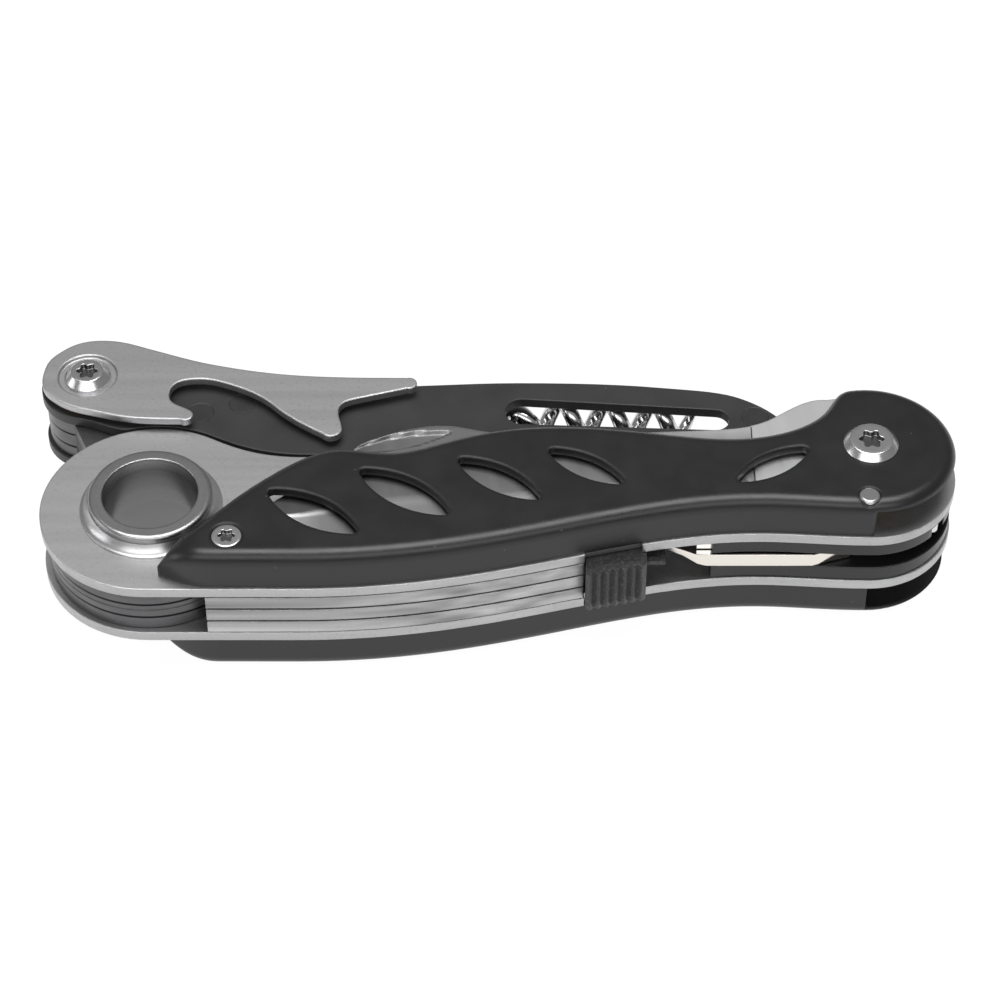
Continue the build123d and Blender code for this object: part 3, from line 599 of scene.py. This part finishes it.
def rounded(name, width, thin=0.0):
    """A constructed part's shape with rolled edges: its triangles merged and joined, thinned, then bevelled.

    Thinning moves every point towards the middle height: z' = z - thin * sign(z - middle).
    """
    mesh = frame["nodes"][name].data.copy()
    shape = bmesh.new()
    shape.from_mesh(mesh)
    bmesh.ops.remove_doubles(shape, verts=shape.verts, dist=SAME_POINT)
    bmesh.ops.dissolve_limit(shape, angle_limit=FLAT_ENOUGH, verts=shape.verts, edges=shape.edges)
    bmesh.ops.recalc_face_normals(shape, faces=shape.faces)
    shape.to_mesh(mesh)
    shape.free()
    if thin:
        points = coordinates(mesh)
        z = points[:, 2]
        z -= thin * np.sign(z - (z.max() + z.min()) / 2)
        mesh.vertices.foreach_set("co", points.ravel())
    mesh.name = f"{name}_rolled"
    mesh.materials.clear()
    shade_smooth(mesh)
    piece = in_scene(f"{name}_rolled", mesh)
    roll = piece.modifiers.new("rolled edges", "BEVEL")
    roll.width = width
    roll.segments = 3
    roll.limit_method = "ANGLE"
    roll.angle_limit = math.radians(35.0)
    even = piece.modifiers.new("even shading", "WEIGHTED_NORMAL")
    even.weight = 100
    even.keep_sharp = True
    even.mode = "FACE_AREA"
    return stand_in(piece, name)


def stand_in(piece, *names):
    """Makes a piece ride on its part's body, in its finish, in place of that part."""
    dress(piece, SLOT_OF[names[0]])
    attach(piece, BODY_OF[names[0]])
    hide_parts(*names)
    return piece


def tube(name, path, radius, sides=20):
    """A tube along a path (n by 3) with a radius at each point.

    Ring i lies at path[i] + radius[i] * (cos(v) * side + sin(v) * up), where side and up are at right angles
    to the path's direction and turn with it as little as they can.
    """
    ahead = np.gradient(path, axis=0)
    ahead /= np.linalg.norm(ahead, axis=1, keepdims=True)
    side = np.empty_like(path)
    side[0] = np.cross(ahead[0], (0.0, 0.0, 1.0))
    side[0] /= np.linalg.norm(side[0])
    for i in range(1, len(path)):
        turned = side[i - 1] - ahead[i] * np.dot(side[i - 1], ahead[i])
        side[i] = turned / np.linalg.norm(turned)
    up = np.cross(ahead, side)
    v = np.linspace(0, 2 * np.pi, sides, endpoint=False)
    ring = np.cos(v)[None, :, None] * side[:, None, :] + np.sin(v)[None, :, None] * up[:, None, :]
    points = path[:, None, :] + radius[:, None, None] * ring
    return surface(name, points[:, ::-1], wrap_v=True, capped=True)


def turned_part(name, profile, centre, sides=64):
    """A solid of revolution about a vertical axis; profile is rows of (radius, height) round a section.

    Point (i, j) lies at centre + radius[j] * (cos(u[i]), sin(u[i])), at height[j].
    """
    u = np.linspace(0, 2 * np.pi, sides, endpoint=False)
    points = np.stack([centre[0] + profile[:, 0][None] * np.cos(u)[:, None],
                       centre[1] + profile[:, 0][None] * np.sin(u)[:, None],
                       np.broadcast_to(profile[:, 1], (sides, len(profile)))], axis=-1)
    return surface(name, points, wrap_u=True, wrap_v=True)


def joined(name, *objects):
    """One mesh object made of several, with its faces turned outwards.

    An attribute stays only if every one of them has it.
    """
    mesh = bpy.data.meshes.new(name)
    shape = bmesh.new()
    for obj in objects:
        shape.from_mesh(obj.data)
        bpy.data.objects.remove(obj)
    bmesh.ops.recalc_face_normals(shape, faces=shape.faces)
    shape.to_mesh(mesh)
    shape.free()
    shade_smooth(mesh)
    return in_scene(name, mesh)


def joint_place(name):
    """Where a joint's axis stands, in the model's frame."""
    return np.array(next(joint["pos_m"] for joint in frame["joints"] if joint["name"] == name))


class MULTITOOL_OT_rolled_plates(bpy.types.Operator):
    """Gives the lever, springs, plates and plier halves rolled edges"""
    bl_idname = "multitool.rolled_plates"
    bl_label = "Rolled Plates"

    def execute(self, context):
        thinning = context.scene.multitool_piece.spring_thinning
        for name, width in ROLLED.items():
            rounded(name, width, thin=thinning if name.startswith("back_spring") else 0.0)
        return {"FINISHED"}


def worm_path(settings, outer, reach):
    """The corkscrew's wire along +X from its pin, and its radius at each point.

    A straight lead is followed by a right-handed helix, whose orbit after t turns is
    (outer - wire) * min(1, t / 0.45) ** 0.6. The wire's own radius falls from the lead's to the wire's, and
    at the point as a square root.
    """
    wire, shank = settings.worm_wire, 4.4 * MM
    turns, lead_count, neck_count, point_count = 4.0, 8, 30, 70
    neck, lead_radius = 1.2 * MM, 1.45 * MM
    x = np.linspace(0.0, shank - neck, lead_count)
    lead = np.stack([x, np.zeros(lead_count), np.zeros(lead_count)], axis=-1)
    t = np.linspace(0.0, turns, 360)
    swell = (outer - wire) * np.minimum(1.0, t / 0.45) ** 0.6
    along = shank - neck + neck * np.minimum(1.0, t / 0.25) + settings.worm_pitch * t
    along = along * (reach - wire) / along.max()
    angle = 2 * np.pi * t + np.pi / 2
    coil = np.stack([along, swell * np.cos(angle), swell * np.sin(angle)], axis=-1)
    path = np.vstack([lead[:-1], coil])
    thick = np.full(len(path), wire)
    thick[:lead_count] = lead_radius
    thick[lead_count:lead_count + neck_count] = np.linspace(lead_radius, wire, neck_count)
    thick[-point_count:] *= np.sqrt(np.linspace(1.0, 0.004, point_count))
    return path, thick, shank


def worm_eye(pin, height):
    """The eye on the corkscrew's pin: a ring whose outside bulges as half an ellipse."""
    a = np.linspace(-np.pi / 2, np.pi / 2, 14)
    outside = np.stack([(1.75 + 0.65 * np.cos(a)) * MM, height + 2.2 * MM * np.sin(a)], axis=-1)
    inside = np.array([[1.27 * MM, height + 2.0 * MM], [1.27 * MM, height - 2.0 * MM]])
    return turned_part("worm_eye", np.vstack([outside, inside]), pin)


class MULTITOOL_OT_corkscrew(bpy.types.Operator):
    """Winds the corkscrew: an eye on its pin, a shank, and a wire that tapers to a point"""
    bl_idname = "multitool.corkscrew"
    bl_label = "Corkscrew"

    def execute(self, context):
        settings = context.scene.multitool_piece
        lo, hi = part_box("corkscrew")
        pin = joint_place("corkscrew_swing")
        height = (lo.z + hi.z) / 2
        path, thick, shank = worm_path(settings, (hi.z - lo.z) / 2 + 0.02 * MM, hi.x - pin[0])
        tilt = math.radians(-2.3)
        cos, sin = math.cos(tilt), math.sin(tilt)
        turn = np.array([[cos, -sin, 0], [sin, cos, 0], [0, 0, 1]])
        path = path @ turn.T + np.array([pin[0], pin[1], height])
        path[:, 1] += settings.worm_lift * np.clip((path[:, 0] - pin[0]) / shank, 0.0, 1.0)
        worm, eye = tube("worm_wire", path, thick), worm_eye(pin, height)
        stand_in(joined("corkscrew_wound", worm, eye), "corkscrew")
        return {"FINISHED"}


# painted shade: how dark a screw's driver recess is drawn, standing in for the shade inside it
RECESS_PAINTED_SHADE = 0.8


def screw(name, centre, shank, low, under, top, radius, bevel, pit=0.0, depth=0.0, tone=0.0):
    """A flat-topped screw or pin: station k is a ring of radius r_k(a) and height z_k about a vertical axis.

    The shank runs from low to under and the head from under to top. The driver recess is the inner stations,
    whose radius is pit * (1 + 0.16 cos 6a), so it has six lobes, and whose depth is given. The bevel's two
    corners are rolled over a short length. The recess is painted dark, as shade, and tone darkens the rest
    evenly.
    """
    sides, point, roll = 96, 1e-6, 0.07 * MM
    a = np.linspace(0, 2 * np.pi, sides, endpoint=False)
    plain = np.ones_like(a)
    lobed = 1.0 + 0.16 * np.cos(6 * a)
    if pit:
        floor = top - depth
        stations = [(point * plain, floor), (pit * 0.55 * lobed, floor), (pit * 0.94 * lobed, floor),
                    (pit * lobed, top - 0.92 * depth), (pit * lobed, top - 0.05 * MM),
                    (pit * 1.05 * lobed, top)]
    else:
        stations = [(point * plain, top)]
    recess = len(stations) - 1
    flat = radius - bevel
    stations += [(r * plain, z) for r, z in (
        (flat * 0.8, top), (flat - roll, top), (flat, top - 0.25 * roll),
        (flat + 0.7 * roll, top - 0.95 * roll), (radius - 0.7 * roll, top - bevel + 0.7 * roll),
        (radius, top - bevel - 0.3 * roll), (radius, top - bevel - roll),
        (radius, under), (shank, under), (shank, low), (point, low))]
    points = np.stack([
        np.stack([centre[0] + r * np.cos(a), centre[1] + r * np.sin(a), np.full(sides, z)], axis=-1)
        for r, z in stations])
    piece = surface(name, points[:, ::-1], wrap_v=True, capped=True)
    piece.data.set_sharp_from_angle(angle=math.radians(32))
    dark = np.full((len(points), sides), tone)
    # painted shade in the driver recess
    dark[:recess] = RECESS_PAINTED_SHADE
    mark_painted_shade(piece.data, dark)
    return piece


class MULTITOOL_OT_screws(bpy.types.Operator):
    """Turns the screws and the stop pin, with polished chamfers and six-lobed recesses"""
    bl_idname = "multitool.screws"
    bl_label = "Screws"

    def execute(self, context):
        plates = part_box("upper_scale")[1].z
        lo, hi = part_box("knife_screw")
        stand_in(screw("knife_screw_turned", joint_place("knife_swing"), 1.4 * MM, lo.z, plates, hi.z,
                       3.2 * MM, 0.72 * MM, 1.25 * MM, 0.7 * MM), "knife_screw")
        lo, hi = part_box("lever_screw")
        stand_in(screw("lever_screw_turned", joint_place("lever_swing"), 1.4 * MM, lo.z, hi.z - 1.2 * MM,
                       hi.z, 2.75 * MM, 0.85 * MM, 1.1 * MM, 0.7 * MM), "lever_screw")
        lo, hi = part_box("stop_pin")
        stand_in(screw("stop_pin_turned", (lo + hi) / 2, 1.1 * MM, lo.z, lo.z + 0.5 * MM, hi.z, 1.18 * MM,
                       0.14 * MM, tone=0.15), "stop_pin")
        lo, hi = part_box("scale_screws")
        over, under = (
            screw(name, (lo + hi) / 2, 1.0 * MM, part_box("upper_liner")[0].z, hi.z - 0.9 * MM, hi.z, 1.8 * MM,
                  0.14 * MM, 0.85 * MM, 0.5 * MM) for name in ("scale_screw_over", "scale_screw_under"))
        points = coordinates(under.data)
        points[:, 2] = lo.z + hi.z - points[:, 2]
        under.data.vertices.foreach_set("co", points.ravel())
        under.data.flip_normals()
        stand_in(joined("scale_screws_turned", over, under), "scale_screws")
        return {"FINISHED"}


def outline(name, stations):
    """The least and greatest y of a constructed part at each x, where its triangles' edges cross."""
    mesh = frame["nodes"][name].data
    points = coordinates(mesh)
    ends = np.empty(len(mesh.edges) * 2, dtype=np.int64)
    mesh.edges.foreach_get("vertices", ends)
    a, b = points[ends[0::2]], points[ends[1::2]]
    low, high = np.empty(len(stations)), np.empty(len(stations))
    for k, x in enumerate(stations):
        crossing = (a[:, 0] - x) * (b[:, 0] - x) < 0
        start, end = a[crossing], b[crossing]
        y = start[:, 1] + (end[:, 1] - start[:, 1]) * (x - start[:, 0]) / (end[:, 0] - start[:, 0])
        low[k], high[k] = y.min(), y.max()
    return low, high


def cut_copy(name, x):
    """The part of a constructed part's shape to the right of x, closed where it is cut."""
    shape = bmesh.new()
    shape.from_mesh(frame["nodes"][name].data)
    bmesh.ops.remove_doubles(shape, verts=shape.verts, dist=SAME_POINT)
    cut = bmesh.ops.bisect_plane(shape, geom=shape.verts[:] + shape.edges[:] + shape.faces[:],
                                 plane_co=(x, 0, 0), plane_no=(1, 0, 0), clear_inner=True)
    bmesh.ops.holes_fill(shape, edges=[e for e in cut["geom_cut"] if isinstance(e, bmesh.types.BMEdge)])
    bmesh.ops.dissolve_limit(shape, angle_limit=FLAT_ENOUGH, verts=shape.verts, edges=shape.edges)
    mesh = bpy.data.meshes.new(f"{name}_hub")
    shape.to_mesh(mesh)
    shape.free()
    # the hub gets no painted shade; the attribute is kept so that it stays after the join
    mark_painted_shade(mesh, np.zeros(len(mesh.vertices)))
    return in_scene(f"{name}_hub", mesh)


def smooth_step(t):
    """The cubic 3 t^2 - 2 t^3, which leaves 0 and reaches 1 without a kink."""
    return t * t * (3 - 2 * t)


def nail_nick(x, y, centre):
    """How deep the nail nick is, in mm: a crescent's bow 1.25 (1 - u^2) along a line tilted by 14 degrees."""
    tilt, half_length, height, wall, depth = math.radians(14.0), 6.6, 1.25, 0.22, 0.42
    right, up = x - centre[0], y - centre[1]
    u = (right * math.cos(tilt) + up * math.sin(tilt)) / half_length
    w = -right * math.sin(tilt) + up * math.cos(tilt)
    bow = height * np.clip(1 - u ** 2, 0.0, 1.0)
    inside = np.clip((bow - np.abs(w)) / wall, 0.0, 1.0) * (np.abs(u) < 1)
    return depth * smooth_step(inside)


def blade_painted_shade(x, y, tip, pivot_x, columns):
    """How dark the blade's upper face is at each point, for its "hollow" attribute.

    It is darkest at the tip, under the scale, and plain towards the hub, as painted shadow of the scale; near
    the hub it stays only where y is under 3.2 mm. The ground bevel, which is the columns after the flank's, is
    painted darker, as shade, while the grind crease near the tip and the edge are left lighter, as painted
    highlights. Lengths are in mm.
    """
    # painted shadow of the scale: strongest towards the tip, and near the hub only where y is under 3.2 mm
    near = np.clip((3.2 - y) / 2.5, 0.0, 1.0)
    dark = np.interp(x, [tip + 11.0, tip + 15.0, tip + 34.0, pivot_x - 18.0], [0.94, 0.80, 0.72, 0.5])
    dark *= 1.0 + np.interp(x, [pivot_x - 30.0, pivot_x - 18.0], [0.0, 1.0]) * (near - 1.0)
    ground, crease = x[:, columns + 1:], x[:, columns]
    # painted shade on the ground bevel
    dark[:, columns + 1:] = np.maximum(dark[:, columns + 1:], np.where(ground < tip + 14.0, 0.97, 0.86))
    # painted highlight: a lighter line along the grind crease near the tip
    dark[:, columns] = np.where(crease < tip + 12.0, 0.6, dark[:, columns])
    # painted highlight: a lighter line along the cutting edge
    dark[:, -2:] = 0.2
    return dark


class MULTITOOL_OT_blade(bpy.types.Operator):
    """Grinds the knife: flat flanks, a ground bevel down to the edge, and a crescent nail nick"""
    bl_idname = "multitool.blade"
    bl_label = "Blade"

    def execute(self, context):
        lo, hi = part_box("main_blade")
        pivot_x, pivot_y = joint_place("knife_swing")[:2] / MM
        low, high, tip = lo.z / MM, hi.z / MM, lo.x / MM
        thick, mid = high - low, (high + low) / 2
        shoulder, columns, bevel_columns = pivot_x - 13.5, 40, 10

        # Along the blade, in mm: from the shoulder to the tip, between the constructed edge and spine.
        x = shoulder + (tip + 0.03 - shoulder) * np.linspace(0.0, 1.0, 360)
        edge, spine = outline("main_blade", x * MM)
        edge, spine = edge / MM, spine / MM
        edge = np.minimum(edge, spine - 0.02)

        # Across the blade: the flank from the spine to the grind line, then the bevel from there to the edge.
        ground = np.clip((pivot_x - 12.5 - x) / 2.5, 0.0, 1.0)
        grind = edge + (spine - edge) * (0.40 * smooth_step(ground) + 0.004)
        down = np.linspace(0.0, 1.0, bevel_columns)[None, 1:]
        flank = spine[:, None] + (grind - spine)[:, None] * np.linspace(0.0, 1.0, columns)[None]
        y = np.hstack([flank, grind[:, None] + (edge - grind)[:, None] * down])

        # Half the thickness: full on the flank, falling down the bevel, rolled at the spine, thin at the tip.
        half = np.hstack([np.full_like(flank, thick / 2), thick / 2 * (1 - 0.97 * ground[:, None] * down)])
        half -= 0.12 * (1 - np.clip((spine[:, None] - y) / 0.18, 0.0, 1.0)) ** 2
        half *= np.clip((x[:, None] - tip) / 2.2, 0.02, 1.0) ** 0.5

        x = np.broadcast_to(x[:, None], y.shape)
        top = mid + half - nail_nick(x, y, (tip + 16.0, pivot_y + 2.1))
        over, under = np.stack([x, y, top], axis=-1), np.stack([x, y, mid - half], axis=-1)
        ring = np.concatenate([over, under[:, ::-1]], axis=1)
        body = surface("blade_body", ring[:, ::-1] * MM, wrap_v=True, capped=True)
        # painted shadow and highlights on the blade, carried as a point attribute
        dark = blade_painted_shade(x, y, tip, pivot_x, columns)
        mark_painted_shade(body.data, np.concatenate([dark, dark[:, ::-1]], axis=1)[:, ::-1])

        hub = cut_copy("main_blade", (shoulder - 0.1) * MM)
        blade = joined("main_blade_ground", body, hub)
        blade.data.set_sharp_from_angle(angle=math.radians(6))
        stand_in(blade, "main_blade")
        return {"FINISHED"}


class MULTITOOL_OT_collar(bpy.types.Operator):
    """Flares the washer under the eyelet's lip out to the liner in a concave curve"""
    bl_idname = "multitool.collar"
    bl_label = "Collar"

    def execute(self, context):
        bore, chamfer, flare = 6.42 * MM, 0.12 * MM, 1.0 * MM
        t = np.linspace(0.0, 1.0, 14)
        for name, upper in (("upper_boss_washer", True), ("lower_boss_washer", False)):
            lo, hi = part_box(name)
            outer = (hi.x - lo.x) / 2
            base, top = (lo.z, hi.z) if upper else (hi.z, lo.z)
            rise = top - base
            skirt = np.stack([outer - chamfer - flare * t, base + rise * (0.22 + 0.78 * t ** 1.5)], axis=-1)
            section = np.vstack([[[bore, base], [outer, base], [outer, base + rise * 0.16]], skirt,
                                 [[bore, top]]])
            ring = turned_part(f"{name}_ring", section, joint_place("pliers_swing"), 128)
            piece = joined(f"{name}_turned", ring)
            piece.data.set_sharp_from_angle(angle=math.radians(40))
            stand_in(piece, name)
            dress(piece, "boss_steel")
        return {"FINISHED"}


DROOP_LEFT, DROOP_POWER = 0.42, 2.4


def droop(t):
    """The share of a scale's height that is left at t: 0.42 + 0.58 (1 - (1 - t) ** 2.4), 1 from t = 1 on."""
    return DROOP_LEFT + (1 - DROOP_LEFT) * (1 - (1 - t) ** DROOP_POWER)


def drooped(name, base, run):
    """A scale whose height falls smoothly towards its tip: z' = base + (z - base) f(t), t = (x - tip) / run.

    f is the droop above. The constructed part's own normals are carried over, and bent by the same map:
    n' = (nx - nz (z - base) f' / f, ny, nz / f).
    """
    source = frame["nodes"][name].data
    tree = BVHTree.FromPolygons([v.co for v in source.vertices], [p.vertices for p in source.polygons])
    shape = bmesh.new()
    shape.from_mesh(source)
    bmesh.ops.remove_doubles(shape, verts=shape.verts, dist=SAME_POINT)
    tip = min(v.co.x for v in shape.verts)
    cuts = 15
    for k in range(1, cuts + 1):
        bmesh.ops.bisect_plane(shape, geom=shape.verts[:] + shape.edges[:] + shape.faces[:],
                               plane_co=(tip + run * k / cuts, 0, 0), plane_no=(1, 0, 0))
    normals = []
    for face in shape.faces:
        centre = face.calc_center_median()
        for corner in face.loops:
            point = corner.vert.co
            found = source.polygons[tree.find_nearest(point.lerp(centre, 0.03))[2]]
            loops = list(found.loop_indices)[:3]
            a, b, c = (source.vertices[source.loops[i].vertex_index].co for i in loops)
            at = corner_weights(point, a, b, c)
            normal = sum((source.corner_normals[i].vector * w for i, w in zip(loops, at)), Vector())
            t = min(1.0, (point.x - tip) / run)
            if t < 1.0:
                left = droop(t)
                slope = (1 - DROOP_LEFT) * DROOP_POWER * (1 - t) ** (DROOP_POWER - 1) / run
                tilted = normal.x - normal.z * (point.z - base) * slope / left
                normal = Vector((tilted, normal.y, normal.z / left))
            normals.append(normal.normalized())
    mesh = bpy.data.meshes.new(f"{name}_drooped")
    shape.to_mesh(mesh)
    shape.free()
    points = coordinates(mesh)
    t = np.minimum(1.0, (points[:, 0] - tip) / run)
    points[:, 2] = np.where(t < 1.0, base + (points[:, 2] - base) * droop(t), points[:, 2])
    mesh.vertices.foreach_set("co", points.ravel())
    shade_smooth(mesh)
    mesh.normals_split_custom_set(normals)
    return stand_in(in_scene(f"{name}_drooped", mesh), name)


def corner_weights(point, a, b, c):
    """Barycentric weights of a point in the triangle a, b, c, kept between 0 and 1."""
    u, v, w = b - a, c - a, point - a
    uu, uv, vv, wu, wv = u.dot(u), u.dot(v), v.dot(v), w.dot(u), w.dot(v)
    size = max(uu * vv - uv * uv, 1e-24)
    second = min(1.0, max(0.0, (vv * wu - uv * wv) / size))
    third = min(1.0 - second, max(0.0, (uu * wv - uv * wu) / size))
    return 1.0 - second - third, second, third


class MULTITOOL_OT_scales(bpy.types.Operator):
    """Lets both scales fall away towards their pointed ends"""
    bl_idname = "multitool.scales"
    bl_label = "Scales"

    def execute(self, context):
        run = context.scene.multitool_piece.droop_run
        drooped("upper_scale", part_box("upper_scale")[0].z, run)
        drooped("lower_scale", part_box("lower_scale")[1].z, run)
        return {"FINISHED"}


class MULTITOOL_OT_finishes(bpy.types.Operator):
    """Builds the finishes and gives each constructed piece its own"""
    bl_idname = "multitool.finishes"
    bl_label = "Finishes"

    def execute(self, context):
        FINISHES.update(build_finishes(context.scene.multitool_finish))
        for name, obj in frame["nodes"].items():
            dress(obj, SLOT_OF[name])
        return {"FINISHED"}


class MULTITOOL_PT_panel(bpy.types.Panel):
    """Lists the steps that build the tool"""
    bl_label = "Multi Tool"
    bl_idname = "MULTITOOL_PT_panel"
    bl_space_type = "VIEW_3D"
    bl_region_type = "UI"
    bl_category = "Multi Tool"

    def draw(self, context):
        for operator in STEPS:
            self.layout.operator(operator.bl_idname)


STEPS = (MULTITOOL_OT_stage, MULTITOOL_OT_finishes, MULTITOOL_OT_rolled_plates, MULTITOOL_OT_corkscrew,
         MULTITOOL_OT_screws, MULTITOOL_OT_blade, MULTITOOL_OT_collar, MULTITOOL_OT_scales)
CLASSES = (FinishSettings, StageSettings, PieceSettings, *STEPS, MULTITOOL_PT_panel)


def register():
    """Registers the classes and gives the scene its settings."""
    for cls in CLASSES:
        bpy.utils.register_class(cls)
    bpy.types.Scene.multitool_finish = PointerProperty(type=FinishSettings)
    bpy.types.Scene.multitool_stage = PointerProperty(type=StageSettings)
    bpy.types.Scene.multitool_piece = PointerProperty(type=PieceSettings)


def unregister():
    """Takes the settings and the classes away again."""
    del bpy.types.Scene.multitool_piece
    del bpy.types.Scene.multitool_stage
    del bpy.types.Scene.multitool_finish
    for cls in reversed(CLASSES):
        bpy.utils.unregister_class(cls)


def main():
    """Runs every step in order."""
    register()
    for step in STEPS:
        area, verb = step.bl_idname.split(".")
        getattr(getattr(bpy.ops, area), verb)()


if __name__ == "__main__":
    main()
